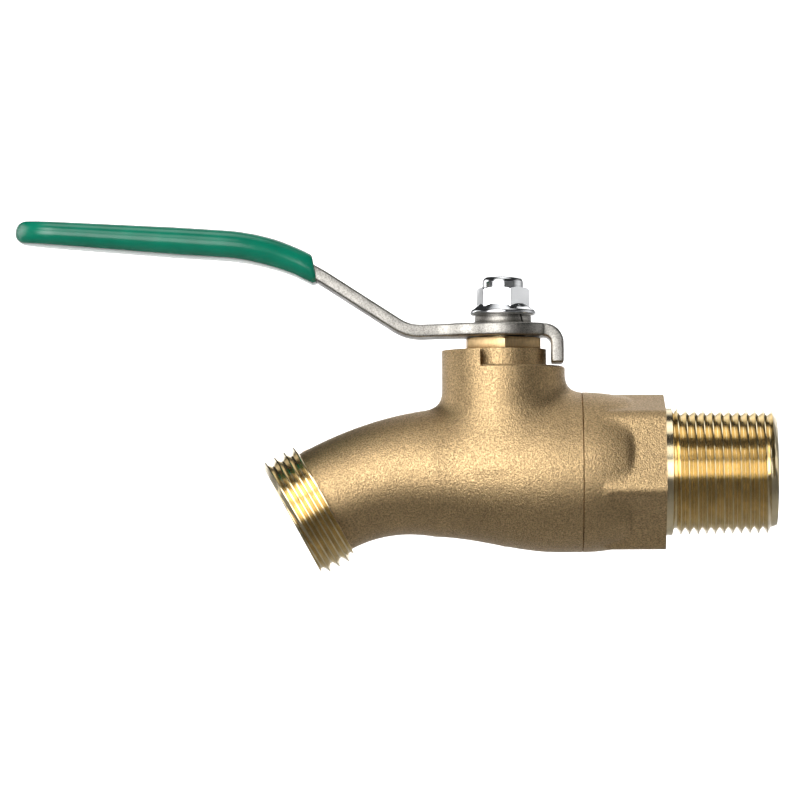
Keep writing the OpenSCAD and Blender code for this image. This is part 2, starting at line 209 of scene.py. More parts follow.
class Studio(bpy.types.PropertyGroup):
    """Camera and light"""

    distance: length("Camera distance", "Distance from the camera to the part", 1500.0, high=9000.0)
    width: length("Picture width", "Width of the picture at the part", 168.4)
    rise: FloatProperty(name="Camera rise", description="Height angle of the camera",
                        default=radians(-2.6), subtype="ANGLE")
    roll: FloatProperty(name="Camera roll", description="Turn of the camera about its own axis",
                        default=radians(-0.35), subtype="ANGLE")
    floor_drop: length("Floor drop", "Depth of the floor under the inlet axis", 600.0)
    rings: IntProperty(name="Turning steps", description="Steps in a full turn of a turned piece",
                       default=96, min=24)


GROUPS = {"bib_body": BodySizes, "bib_threads": ThreadSizes, "bib_connector": ConnectorSizes,
          "bib_lever": LeverSizes, "bib_fixings": FixingSizes, "bib_finishes": Finishes,
          "bib_studio": Studio}


class Sizes:
    """The lengths of one property group, in millimetres."""

    def __init__(self, group):
        self._group = getattr(bpy.context.scene, group)

    def __getattr__(self, name):
        return getattr(self._group, name) / MM


# ---------------------------------------------------------------- mesh helpers


def only(kind, items):
    """The items that are of one kind, verts or edges."""
    return [item for item in items if isinstance(item, kind)]


def laid_over(bm):
    """Turns everything in a bmesh so that what ran along +Z runs along +X."""
    bmesh.ops.rotate(bm, verts=bm.verts, cent=(0, 0, 0), matrix=Matrix.Rotation(pi / 2, 3, "Y"))
    return bm


def facing_out(bm):
    """Turns all faces outwards."""
    bmesh.ops.recalc_face_normals(bm, faces=bm.faces)
    return bm


def turned(profile, axis="Z"):
    """A turned solid from (radius, height) points. It closes at the axis or on itself."""
    bm = bmesh.new()
    verts = [bm.verts.new((radius, 0.0, height)) for radius, height in profile]
    pairs = list(zip(verts, verts[1:]))
    if profile[0][0] > 0.0 or profile[-1][0] > 0.0:
        pairs.append((verts[-1], verts[0]))
    edges = [bm.edges.new(pair) for pair in pairs]
    bmesh.ops.spin(bm, geom=verts + edges, cent=(0, 0, 0), axis=(0, 0, 1), angle=tau,
                   steps=bpy.context.scene.bib_studio.rings, use_merge=True)
    bmesh.ops.remove_doubles(bm, verts=bm.verts, dist=1e-4)
    facing_out(bm)
    return laid_over(bm) if axis == "X" else bm


def prism(outline, low, high):
    """A closed prism between two heights over an outline of (x, y) points."""
    bm = bmesh.new()
    face = bm.faces.new([bm.verts.new((x, y, low)) for x, y in outline])
    top = bmesh.ops.extrude_face_region(bm, geom=[face])
    verts = only(bmesh.types.BMVert, top["geom"])
    bmesh.ops.translate(bm, verts=verts, vec=(0, 0, high - low))
    return facing_out(bm)


def polygon(sides, radius, turn=0.0):
    """Corners of a regular polygon."""
    return [(radius * cos(turn + tau * k / sides), radius * sin(turn + tau * k / sides))
            for k in range(sides)]


def arc(centre, radius, start, end, steps):
    """Points of an arc in a plane, angles in degrees."""
    return [(centre[0] + radius * cos(radians(start + (end - start) * k / steps)),
             centre[1] + radius * sin(radians(start + (end - start) * k / steps)))
            for k in range(steps + 1)]


def extruded(bm, edges, vector):
    """Extrudes edges along a vector and returns the new edges."""
    made = bmesh.ops.extrude_edge_only(bm, edges=edges)["geom"]
    bmesh.ops.translate(bm, verts=only(bmesh.types.BMVert, made), vec=vector)
    return only(bmesh.types.BMEdge, made)


def box_solid(low, high):
    """A closed box between two corners."""
    bm = bmesh.new()
    bmesh.ops.create_cube(bm, size=1.0)
    low, high = Vector(low), Vector(high)
    bmesh.ops.scale(bm, verts=bm.verts, vec=high - low)
    bmesh.ops.translate(bm, verts=bm.verts, vec=(low + high) / 2)
    return bm


def as_object(bm, name):
    """A bmesh as a new object; the bmesh is freed."""
    mesh = bpy.data.meshes.new(name)
    bm.to_mesh(mesh)
    bm.free()
    piece = bpy.data.objects.new(name, mesh)
    bpy.context.scene.collection.objects.link(piece)
    return piece


def drop_object(piece):
    """Removes a helper object and its mesh."""
    mesh = piece.data
    bpy.data.objects.remove(piece)
    bpy.data.meshes.remove(mesh)


def applied(piece):
    """The piece's mesh with its modifiers, as a bmesh; the piece is removed."""
    bpy.context.view_layer.update()
    shaped = piece.evaluated_get(bpy.context.evaluated_depsgraph_get())
    bm = bmesh.new()
    bm.from_mesh(shaped.to_mesh())
    shaped.to_mesh_clear()
    drop_object(piece)
    return bm


def joined(base, tool, operation):
    """Boolean of two closed bmeshes; both are used up."""
    base_piece, tool_piece = as_object(base, "base"), as_object(tool, "tool")
    cut = base_piece.modifiers.new("join", "BOOLEAN")
    cut.operation = operation
    cut.solver = "MANIFOLD"
    cut.object = tool_piece
    bm = applied(base_piece)
    drop_object(tool_piece)
    return bm


def gridded(bm, size):
    """The same solid on an even grid of small faces."""
    piece = as_object(bm, "grid")
    remesh = piece.modifiers.new("grid", "REMESH")
    remesh.mode = "VOXEL"
    remesh.voxel_size = size
    remesh.adaptivity = 0.0
    return applied(piece)


def eased(bm, field):
    """Moves the vertices that lie near a surface, field = 0, onto it."""
    rounds, reach, probe = 4, 1.6, 0.01
    points = np.array([vert.co for vert in bm.verts])
    for _ in range(rounds):
        value = field(points)
        slope = np.stack([(field(points + probe * np.eye(3)[k]) - value) / probe for k in range(3)],
                         axis=1)
        step = (value / np.maximum((slope ** 2).sum(axis=1), 0.2))[:, None] * slope
        size = np.linalg.norm(step, axis=1)[:, None]
        step = np.where(size > reach, 0.0, step)
        points = points - step
    for vert, point in zip(bm.verts, points):
        vert.co = point
    return bm


def settled(bm, field, factor):
    """Eases a gridded solid onto a surface in three rounds, smoothed between them."""
    for _ in range(2):
        eased(bm, field)
        bmesh.ops.smooth_vert(bm, verts=bm.verts, factor=factor, use_axis_x=True, use_axis_y=True,
                              use_axis_z=True)
    return eased(bm, field)


def soft_union(first, second, width):
    """Union of two distance fields with a fillet between them."""
    share = np.clip(0.5 + 0.5 * (second - first) / width, 0.0, 1.0)
    return second * (1.0 - share) + first * share - width * share * (1.0 - share)


def soft_cut(first, second, width):
    """Intersection of two distance fields with a rounded edge."""
    return -soft_union(-first, -second, width)


def helix(root, crest, pitch, start, turns, flat, steps=72, fade=0.35, taper=0.0):
    """A right-handed thread ridge around +Z, tapering out over the fade share of a turn."""
    buried, foot = 0.35, root - 0.03
    half = (crest - foot) * tan(radians(30)) + flat / 2
    outline = [(root - buried, start - half), (foot, start - half), (crest, start - flat / 2),
               (crest, start + flat / 2), (foot, start + half), (root - buried, start + half)]
    bm = bmesh.new()
    verts = [bm.verts.new((radius, 0.0, height)) for radius, height in outline]
    edges = [bm.edges.new(pair) for pair in zip(verts, verts[1:] + verts[:1])]
    count = round(turns * steps)
    made = bmesh.ops.spin(bm, geom=verts + edges, cent=(0, 0, 0), axis=(0, 0, 1),
                          dvec=(0, 0, pitch / steps), angle=turns * tau, steps=count)
    bmesh.ops.contextual_create(bm, geom=edges)
    bmesh.ops.contextual_create(bm, geom=only(bmesh.types.BMEdge, made["geom_last"]))
    bm.verts.index_update()
    for vert in bm.verts:
        radius = Vector(vert.co.xy).length
        step = vert.index // len(outline)
        share = min(1.0, (step + 0.5) / (fade * steps), (count - step + 0.5) / (fade * steps))
        height = max(radius - root, 0.0) * share
        sunk = buried * (1.0 - share)
        size = (min(radius, root) - sunk + height - taper * (vert.co.z - start)) / radius
        vert.co.xy = vert.co.xy * size
    return facing_out(bm)


def finish_piece(bm, name, body, materials, stands_for=(), pick=None, crease=35.0):
    """Makes the finished object: metres, in place, riding its body, with its materials."""
    bmesh.ops.dissolve_degenerate(bm, dist=1e-4, edges=bm.edges)
    bmesh.ops.scale(bm, verts=bm.verts, vec=(MM, MM, MM))
    bmesh.ops.translate(bm, verts=bm.verts, vec=STEM)
    piece = as_object(bm, name)
    for material in materials:
        piece.data.materials.append(material)
    for face in piece.data.polygons:
        face.use_smooth = True
        if pick:
            face.material_index = pick((face.center - STEM) / MM)
    piece.data.set_sharp_from_angle(angle=radians(crease))
    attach(piece, body)
    if stands_for:
        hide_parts(*stands_for)
    return piece


# ---------------------------------------------------------------- materials


class Finish:
    """A material being built: its principled shader and short ways to add nodes."""

    def __init__(self, name, base, metallic, roughness):
        self.material = bpy.data.materials.new(name)
        self.material.use_nodes = True
        self.tree = self.material.node_tree
        self.shader = self.tree.nodes["Principled BSDF"]
        self.shader.inputs["Base Color"].default_value = (*base, 1.0)
        self.shader.inputs["Metallic"].default_value = metallic
        self.shader.inputs["Roughness"].default_value = roughness
        self.place = self.tree.nodes.new("ShaderNodeTexCoord").outputs["Object"]

    def link(self, source, node, socket):
        self.tree.links.new(source, node.inputs[socket])

    def noise(self, grain, detail=2.0, rough=0.5, stretch=None):
        """Noise with features about grain millimetres wide, stretched along an axis if asked."""
        node = self.tree.nodes.new("ShaderNodeTexNoise")
        node.inputs["Scale"].default_value = 1.0 / (grain * MM)
        node.inputs["Detail"].default_value = detail
        node.inputs["Roughness"].default_value = rough
        place = self.place
        if stretch:
            mapping = self.tree.nodes.new("ShaderNodeMapping")
            mapping.inputs["Scale"].default_value = stretch
            self.link(place, mapping, "Vector")
            place = mapping.outputs["Vector"]
        self.link(place, node, "Vector")
        return node.outputs["Fac"]

    def band(self, source, low, high, dark, light):
        """Maps a value between two limits onto another pair."""
        node = self.tree.nodes.new("ShaderNodeMapRange")
        node.inputs["From Min"].default_value = low
        node.inputs["From Max"].default_value = high
        node.inputs["To Min"].default_value = dark
        node.inputs["To Max"].default_value = light
        self.link(source, node, "Value")
        return node.outputs["Result"]

    def mix(self, share, first, second):
        """Mixes two colours, either of them a colour or another mix."""
        node = self.tree.nodes.new("ShaderNodeMix")
        node.data_type = "RGBA"
        self.link(share, node, "Factor")
        for socket, value in ((node.inputs[6], first), (node.inputs[7], second)):
            if isinstance(value, tuple):
                socket.default_value = (*value, 1.0)
            else:
                self.tree.links.new(value, socket)
        return node.outputs[2]

    def bump(self, height, depth, after=None):
        """Bump of depth millimetres; it can follow another bump."""
        node = self.tree.nodes.new("ShaderNodeBump")
        node.inputs["Strength"].default_value = 1.0
        node.inputs["Distance"].default_value = depth * MM
        self.link(height, node, "Height")
        if after:
            self.link(after, node, "Normal")
        return node.outputs["Normal"]

    def set(self, **sources):
        """Links sources to the shader's sockets, named with underscores."""
        for name, source in sources.items():
            self.link(source, self.shader, name.replace("_", " ").title())
        return self.material


def shade(rgb, factor):
    """A colour made lighter or darker."""
    return tuple(min(1.0, channel * factor) for channel in rgb)


def cast_brass_material():
    """Blasted casting: fine grain, pits and slow changes of tone."""
    base = tuple(bpy.context.scene.bib_finishes.cast_brass)
    finish = Finish("cast_brass", base, 1.0, 0.42)
    grain = finish.noise(0.34, detail=3.0, rough=0.6)
    pits = finish.noise(0.85, detail=2.0)
    cloud = finish.noise(9.0, detail=2.0)
    tone = finish.mix(finish.band(cloud, 0.35, 0.65, 0.0, 1.0), shade(base, 0.93), shade(base, 1.07))
    speck = finish.mix(finish.band(grain, 0.38, 0.64, 0.0, 1.0), shade(base, 0.55), tone)
    normal = finish.bump(grain, 0.14)
    normal = finish.bump(pits, 0.05, after=normal)
    return finish.set(Base_Color=speck, Roughness=finish.band(grain, 0.3, 0.7, 0.48, 0.3),
                      Normal=normal)


def machined_brass_material():
    """Cut thread: bright, with faint tool lines along the cut."""
    base = tuple(bpy.context.scene.bib_finishes.machined_brass)
    finish = Finish("machined_brass", base, 1.0, 0.2)
    lines = finish.noise(1.2, detail=2.0, stretch=(9.0, 1.0, 1.0))
    smear = finish.noise(3.5)
    tone = finish.mix(finish.band(smear, 0.35, 0.65, 0.0, 1.0), shade(base, 0.88), base)
    return finish.set(Base_Color=tone, Roughness=finish.band(lines, 0.3, 0.7, 0.12, 0.22),
                      Normal=finish.bump(lines, 0.004))


def nut_brass_material():
    """The packing nut: drawn bar, duller than the thread."""
    base = shade(tuple(bpy.context.scene.bib_finishes.cast_brass), 1.12)
    finish = Finish("nut_brass", base, 1.0, 0.34)
    grain = finish.noise(0.4, detail=3.0, stretch=(1.0, 1.0, 0.35))
    tone = finish.mix(finish.band(grain, 0.35, 0.65, 0.0, 1.0), shade(base, 0.85), base)
    return finish.set(Base_Color=tone, Roughness=finish.band(grain, 0.3, 0.7, 0.42, 0.28),
                      Normal=finish.bump(grain, 0.03))


def steel_material():
    """Tumbled steel plate: satin, with a fine matt grain."""
    base = tuple(bpy.context.scene.bib_finishes.steel)
    finish = Finish("tumbled_steel", base, 1.0, 0.36)
    grain = finish.noise(0.28, detail=3.0, rough=0.6)
    smear = finish.noise(4.0)
    tone = finish.mix(finish.band(grain, 0.36, 0.6, 0.0, 1.0), shade(base, 0.55), base)
    normal = finish.bump(grain, 0.06)
    normal = finish.bump(smear, 0.08, after=normal)
    return finish.set(Base_Color=tone, Roughness=finish.band(smear, 0.3, 0.7, 0.3, 0.44),
                      Normal=normal)


def chrome_material():
    """Bright plating with a faint haze."""
    base = tuple(bpy.context.scene.bib_finishes.chrome)
    finish = Finish("bright_chrome", base, 1.0, 0.06)
    haze = finish.noise(1.6, detail=3.0)
    return finish.set(Roughness=finish.band(haze, 0.35, 0.7, 0.04, 0.13),
                      Normal=finish.bump(haze, 0.006))


def vinyl_material():
    """Dipped vinyl: glossy skin with slow waves from the dip and a few pores."""
    base = tuple(bpy.context.scene.bib_finishes.vinyl)
    finish = Finish("dipped_vinyl", base, 0.0, 0.22)
    finish.shader.inputs["Coat Weight"].default_value = 0.15
    finish.shader.inputs["Coat Roughness"].default_value = 0.08
    finish.shader.inputs["IOR"].default_value = 1.52
    waves = finish.noise(6.0, detail=1.0)
    pores = finish.noise(0.7, detail=3.0, rough=0.6)
    tone = finish.mix(finish.band(waves, 0.3, 0.7, 0.0, 1.0), shade(base, 0.86), shade(base, 1.1))
    normal = finish.bump(pores, 0.005)
    normal = finish.bump(waves, 0.1, after=normal)
    return finish.set(Base_Color=tone, Roughness=finish.band(pores, 0.3, 0.7, 0.2, 0.27),
                      Normal=normal)


def moulded_material(name, base, roughness, grain_size):
    """Plain moulded plastic or rubber with a fine grain."""
    finish = Finish(name, base, 0.0, roughness)
    grain = finish.noise(grain_size, detail=3.0)
    tone = finish.mix(grain, shade(base, 0.85), shade(base, 1.08))
    return finish.set(Base_Color=tone, Normal=finish.bump(grain, 0.012),
                      Roughness=finish.band(grain, 0.3, 0.7, roughness - 0.06, roughness + 0.08))


def floor_material():
    """Pale seamless paper."""
    base = tuple(bpy.context.scene.bib_finishes.floor)
    finish = Finish("seamless_paper", base, 0.0, 0.9)
    fibre = finish.noise(3.0, detail=3.0)
    return finish.set(Base_Color=finish.mix(fibre, shade(base, 0.995), base))


MATERIALS = {}


def material(name):
    """The material of that name, made once."""
    makers = {"cast": cast_brass_material, "cut": machined_brass_material, "nut": nut_brass_material,
              "steel": steel_material, "chrome": chrome_material, "vinyl": vinyl_material,
              "floor": floor_material}
    if name not in MATERIALS:
        MATERIALS[name] = makers[name]()
    return MATERIALS[name]


# ---------------------------------------------------------------- cast body


def mouth_matrix():
    """From the mouth's own axes, local +Z out of the spout, to the body's."""
    sizes = Sizes("bib_threads")
    foot = MOUTH_CENTRE - MOUTH_AXIS * sizes.hose_length
    return Matrix.Translation(foot) @ Matrix.Rotation(-(pi / 2 + BEND), 4, "Y")


def barrel_radius(x, sizes):
    """Outer radius of the barrel along the inlet axis."""
    full_x, root_x = 12.0, -16.0
    share = np.clip((full_x - x) / (full_x - root_x), 0.0, 1.0)
    swell = (sizes.flange_radius - sizes.spout_radius) / 2
    return sizes.spout_radius + swell * (1.0 + np.cos(pi * share))


def body_field(points):
    """Distance to the casting's outside: barrel, bent spout and neck with its fillet."""
    sizes = Sizes("bib_body")
    x, y, z = points.T
    bend_x, bend_r = -sizes.bend_start, sizes.bend_radius
    turn = np.clip(np.arctan2(bend_x - x, z + bend_r), 0.0, BEND)
    centre = np.stack([bend_x - bend_r * np.sin(turn), bend_r * np.cos(turn) - bend_r], axis=1)
    along = (centre[:, 0] - x) * cos(BEND) + (centre[:, 1] - z) * sin(BEND)
    past = (turn >= BEND) & (along > 0)
    centre[:, 0] -= np.where(past, along * cos(BEND), 0.0)
    centre[:, 1] -= np.where(past, along * sin(BEND), 0.0)
    straight = x > bend_x
    offset = np.where(straight, np.hypot(y, z),
                      np.sqrt(y ** 2 + (x - centre[:, 0]) ** 2 + (z - centre[:, 1]) ** 2))
    start = barrel_radius(bend_x, sizes)
    radius = np.where(straight, barrel_radius(x, sizes),
                      start + (sizes.throat_radius - start) * np.sin(turn / BEND * pi / 2))
    neck = np.hypot(x, y) - sizes.neck_radius
    neck = np.where(z < 0, neck - z, neck)
    radius_for_width = 0.854
    return soft_union(offset - radius, neck, sizes.fillet / radius_for_width)


def body_forms():
    """Plain forms of the casting before they are blended: barrel, spout and neck."""
    sizes = Sizes("bib_body")
    bend_x = -sizes.bend_start
    barrel = turned([(0.0, bend_x), (sizes.spout_radius, bend_x), (sizes.flange_radius - 1, 2.0),
                     (sizes.flange_radius, 12.0), (sizes.flange_radius, SEAM_X + 2),
                     (0.0, SEAM_X + 2)], axis="X")
    spout = bmesh.new()
    rough = 12.6
    bmesh.ops.create_circle(spout, cap_ends=False, segments=64, radius=rough)
    laid_over(spout)
    bmesh.ops.translate(spout, verts=spout.verts, vec=(bend_x + 3, 0, 0))
    edges = list(spout.edges)
    bmesh.ops.contextual_create(spout, geom=edges)
    edges = extruded(spout, edges, (-3, 0, 0))
    bent = bmesh.ops.spin(spout, geom=edges, cent=(bend_x, 0, -sizes.bend_radius), axis=(0, -1, 0),
                          angle=BEND, steps=20)["geom_last"]
    edges = only(bmesh.types.BMEdge, bent)
    bmesh.ops.contextual_create(spout, geom=extruded(spout, edges, MOUTH_AXIS * 2.5))
    facing_out(spout)
    neck = turned([(0.0, 2.0), (sizes.neck_radius, 2.0), (sizes.neck_radius, HUB_TOP + 2),
                   (0.0, HUB_TOP + 2)])
    return joined(joined(barrel, spout, "UNION"), neck, "UNION")


def stop_cutters():
    """What is cut from the neck: the ledge, its chamfer, and everything over the stop wall."""
    sizes = Sizes("bib_body")
    reach, fillet, edge = 20.0, 0.35, 0.4
    notch = box_solid((-sizes.stop_offset, -reach, sizes.ledge_height), (reach, reach, reach * 2))
    hub = turned([(0.0, 0.0), (sizes.hub_radius, 0.0), (sizes.hub_radius, sizes.ledge_height - 0.5),
                  (sizes.hub_radius + fillet, sizes.ledge_height - 0.5),
                  (sizes.hub_radius + fillet, sizes.ledge_height)]
                 + arc((sizes.hub_radius + fillet, sizes.ledge_height + fillet), fillet, 270, 180, 4)
                 + [(sizes.hub_radius, reach * 3), (0.0, reach * 3)])
    notch = joined(notch, hub, "DIFFERENCE")
    over, past = sizes.ledge_height + 0.01, 2.0
    chamfer = turned([(sizes.neck_radius - edge, over),
                      (sizes.neck_radius + past, over - edge - past),
                      (sizes.neck_radius + past, over)])
    inlet_side = box_solid((-sizes.stop_offset, -reach, 0.0), (reach, reach, reach * 2))
    chamfer = joined(chamfer, inlet_side, "INTERSECT")
    crown = turned([(sizes.hub_radius, sizes.stop_height), (reach, sizes.stop_height),
                    (reach, reach * 2), (sizes.hub_radius, reach * 2)])
    lid = box_solid((-reach, -reach, HUB_TOP), (reach, reach, reach * 2))
    return notch, chamfer, crown, lid


def body_cavity():
    """The turned cavity for seat, ball and connector, and the waterway of the spout."""
    sizes = Sizes("bib_body")
    room, slack = 0.65, 0.05
    ball = span("ball")[1].z + room
    seat = span("outlet_seat")
    pocket = seat[1].z + slack
    start = -np.degrees(acos(pocket / ball))
    joint_x, joint_r = span("end_connector")[0].x, 14.65
    chamber = turned([(0.0, seat[0].x), (pocket, seat[0].x)]
                     + [(r, x) for r, x in arc((0, 0), ball, start, 0, 8)]
                     + [(ball, joint_x), (joint_r, joint_x), (joint_r, SEAM_X - 0.5),
                        (joint_r + 0.5, SEAM_X + 0.01), (20.0, SEAM_X + 0.01), (20.0, SEAM_X + 6),
                        (0.0, SEAM_X + 6)], axis="X")
    wide, bend_x = sizes.waterway_radius + 0.2, -sizes.bend_start
    bore = turned([(0.0, bend_x - 0.5), (wide, bend_x - 0.5), (wide, -8.0), (0.0, -8.0)], axis="X")
    bend = bmesh.new()
    bmesh.ops.create_circle(bend, cap_ends=True, segments=72, radius=sizes.waterway_radius)
    laid_over(bend)
    bmesh.ops.translate(bend, verts=bend.verts, vec=(bend_x, 0, 0))
    made = bmesh.ops.spin(bend, geom=list(bend.edges), cent=(bend_x, 0, -sizes.bend_radius),
                          axis=(0, -1, 0), angle=BEND, steps=24)["geom_last"]
    bmesh.ops.contextual_create(bend, geom=only(bmesh.types.BMEdge, made))
    facing_out(bend)
    mouth = turned([(0.0, -0.5), (sizes.mouth_radius, -0.5), (sizes.mouth_radius, 7.6),
                    (sizes.mouth_radius + 0.5, 8.1), (sizes.mouth_radius + 0.5, 12.0), (0.0, 12.0)])
    bmesh.ops.transform(mouth, verts=mouth.verts, matrix=mouth_matrix())
    stem = turned([(0.0, 8.0), (6.2, 8.0), (6.2, 15.5), (4.05, 15.5), (4.05, 17.6), (6.3, 17.6),
                   (6.3, 21.9), (6.9, 21.9), (6.9, HUB_TOP - 0.3), (7.2, HUB_TOP + 0.01),
                   (7.2, 40.0), (0.0, 40.0)])
    return chamber, bore, bend, mouth, stem


def hose_thread():
    """Root cylinder of the mouth with the hose thread's ridge, cut off square at the shoulder."""
    sizes = Sizes("bib_threads")
    end, root, crest, pitch = sizes.hose_length, sizes.hose_root, sizes.hose_crest, sizes.hose_pitch
    first = 0.6
    core = turned([(0.0, -0.9), (root - 1.2, -0.9), (root - 0.5, -0.15), (root, 0.05),
                   (root, end - 0.2), (root - 0.2, end), (0.0, end)])
    ridge = helix(root, crest, pitch, first - pitch, (end - first) / pitch + 1.7, 0.22)
    trim = turned([(0.0, -2.0), (root - 0.4, -2.0), (root - 0.4, 0.0), (crest + 1, 0.0),
                   (crest + 1, end - 0.45), (crest - 0.1, end - 0.12), (crest - 0.5, end), (0.0, end)])
    both = joined(joined(core, ridge, "UNION"), trim, "INTERSECT")
    bmesh.ops.transform(both, verts=both.verts, matrix=mouth_matrix())
    return both


def body_cut_metal(point):
    """1 where a face is cut metal: the hose thread, its mouth and the machined cavity."""
    local = mouth_matrix().inverted() @ point
    if local.z > -0.12 and Vector(local.xy).length < 14.5:
        return 1
    off_axis = Vector((point.y, point.z)).length
    return 1 if point.x > SEAM_X - 8 and off_axis < 14.8 else 0


def build_body():
    """The cast body with its spout, neck, stop wall and hose thread."""
    sizes = Sizes("bib_body")
    bm = settled(gridded(body_forms(), sizes.grid), body_field, 0.5)
    trim = box_solid((-50, -50, -50), (50, 50, 50))
    bmesh.ops.translate(trim, verts=trim.verts, vec=(0, 0, 50 + 0.02))
    bmesh.ops.transform(trim, verts=trim.verts, matrix=mouth_matrix())
    bm = joined(bm, trim, "DIFFERENCE")
    bm = joined(bm, hose_thread(), "UNION")
    for cutter in (*stop_cutters(), *body_cavity()):
        bm = joined(bm, cutter, "DIFFERENCE")
    return finish_piece(bm, "cast_body", "body", [material("cast"), material("cut")],
                        ["valve_body"], pick=body_cut_metal, crease=40)


# ---------------------------------------------------------------- end connector


def connector_field(points):
    """Distance to the connector's casting: barrel end and hex, softly joined."""
    sizes = Sizes("bib_connector")
    body = Sizes("bib_body")
    x, y, z = points.T
    corner, cone_start, cone_slope = 1.5, 16.5, 0.75
    roll_start, roll_rate, last = 9.0, 0.17, 14.0
    run = np.clip(x - SEAM_X, 0.0, last)
    roll_over = roll_rate * np.maximum(run - roll_start, 0.0) ** 2
    barrel = np.hypot(y, z) - (body.flange_radius - roll_over
                               - sizes.barrel_arc + np.sqrt(sizes.barrel_arc ** 2 - run ** 2))
    turn = bpy.context.scene.bib_connector.hex_turn
    flats = sizes.hex_flats / 2
    sides = None
    for k in range(6):
        angle = turn + radians(30) + k * pi / 3
        side = y * sin(angle) - z * cos(angle) - flats
        sides = side if sides is None else soft_cut(sides, side, corner)
    cone = np.hypot(y, z) - cone_start - (x - sizes.hex_start) * cone_slope
    cone = cone / sqrt(1.0 + cone_slope ** 2)
    hexagon = soft_cut(soft_cut(sides, cone, 0.8), sizes.hex_start - x, 0.5)
    return soft_union(barrel, hexagon, sizes.blend)


def build_connector():
    """The end connector: cast barrel end and hex, machined collar, pipe thread and spigot."""
    sizes, threads, body = Sizes("bib_connector"), Sizes("bib_threads"), Sizes("bib_body")
    turn = bpy.context.scene.bib_connector.hex_turn
    end = SHOULDER_X + 2
    barrel = turned([(0.0, SEAM_X - 2), (body.flange_radius, SEAM_X - 2), (body.flange_radius, 18.0),
                     (15.4, 26.0), (14.0, 30.0), (0.0, 30.0)], axis="X")
    block = prism(polygon(6, sizes.hex_flats / 2 / cos(pi / 6), turn), sizes.hex_start, end)
    laid_over(block)
    bm = settled(gridded(joined(barrel, block, "UNION"), body.grid), connector_field, 0.4)
    reach, chamfer = 22.0, 0.25
    rim = body.flange_radius
    slab = turned([(0.0, SEAM_X), (rim - chamfer, SEAM_X), (reach, SEAM_X + reach - rim + chamfer),
                   (reach, SHOULDER_X), (0.0, SHOULDER_X)], axis="X")
    bm = joined(bm, slab, "INTERSECT")
    length_in = INLET_END - SHOULDER_X
    root = threads.pipe_root
    collar, collar_end = threads.collar_radius, threads.collar_length
    core = turned([(0.0, -1.0), (collar, -1.0), (collar, collar_end - 0.2),
                   (collar - 0.2, collar_end), (root + 0.2, collar_end + 0.15), (root, collar_end + 0.5),
                   (root - 0.22, length_in - 1.0), (root - 0.55, length_in), (0.0, length_in)])
    ridge = helix(root, threads.pipe_crest, threads.pipe_pitch, 1.5, 11.9, 0.16, fade=0.3,
                  taper=0.012)
    trim = turned([(0.0, -2.0), (16.0, -2.0), (16.0, length_in - 3.0), (root - 0.4, length_in),
                   (0.0, length_in)])
    thread = joined(joined(core, ridge, "UNION"), trim, "INTERSECT")
    laid_over(thread)
    bmesh.ops.translate(thread, verts=thread.verts, vec=(SHOULDER_X, 0, 0))
    bm = joined(bm, thread, "UNION")
    spigot_x = span("end_connector")[0].x
    spigot = turned([(0.0, spigot_x), (14.3, spigot_x), (14.6, spigot_x + 0.3), (14.6, 13.7),
                     (13.0, 13.7), (13.0, 15.5), (14.6, 15.5), (14.6, SEAM_X + 1), (0.0, SEAM_X + 1)],
                    axis="X")
    bm = joined(bm, spigot, "UNION")
    bore = turned([(0.0, 5.0), (12.05, 5.0), (12.05, 11.4), (9.5, 11.4), (9.5, INLET_END - 0.4),
                   (9.9, INLET_END + 0.1), (9.9, INLET_END + 5), (0.0, INLET_END + 5)], axis="X")
    bm = joined(bm, bore, "DIFFERENCE")

    def cut_metal(point):
        off_axis = Vector((point.y, point.z)).length
        return 1 if point.x > SHOULDER_X + 0.05 or point.x < SEAM_X - 0.05 or off_axis < 12.2 else 0

    return finish_piece(bm, "hex_connector", "body", [material("cast"), material("cut")],
                        ["end_connector"], pick=cut_metal, crease=40)


# ---------------------------------------------------------------- packing nut and stem


def chamfered_hex(flats, low, high, turn, top_cut):
    """A hex nut blank whose corners are turned down at the top, at 30 degrees."""
    corner = flats / 2 / cos(pi / 6)
    block = prism(polygon(6, corner, turn), low, high)
    fall = tan(radians(30))
    profile = [(0.0, low), (corner + 1.0, low), (corner + 1.0, high - (top_cut + 1) * fall),
               (corner - top_cut, high), (0.0, high)]
    return joined(block, turned(profile), "INTERSECT")


def bevelled(bm, offset, angle, segments=2):
    """Bevels every edge sharper than the angle."""
    edges = [e for e in bm.edges if len(e.link_faces) == 2 and e.calc_face_angle(0.0) > radians(angle)]
    bmesh.ops.bevel(bm, geom=edges, offset=offset, segments=segments, profile=0.5, affect="EDGES",
                    material=-1, clamp_overlap=True)
    return bm


def build_packing_nut():
    """Hollow hex nut whose shank presses the packing down."""
    sizes = Sizes("bib_fixings")
    low, high = sizes.packing_hex_from, NUT_TOP
    bm = chamfered_hex(sizes.packing_flats, low, high, radians(-88.5), 0.75)
    bmesh.ops.dissolve_limit(bm, angle_limit=radians(1), verts=bm.verts, edges=bm.edges)
    bevelled(bm, 0.12, 25)
    foot, shank_radius = span("packing_nut")[0].z, 6.88
    shank = turned([(0.0, foot), (6.6, foot), (shank_radius, foot + 0.3), (shank_radius, low + 0.5),
                    (0.0, low + 0.5)])
    bm = joined(bm, shank, "UNION")
    hole = turned([(0.0, 20.0), (4.1, 20.0), (4.1, high - 0.3), (4.45, high + 0.05), (4.45, 40.0),
                   (0.0, 40.0)])
    bm = joined(bm, hole, "DIFFERENCE")
    return finish_piece(bm, "hex_packing_nut", "body", [material("nut")],
                        ["packing_nut"], crease=25)


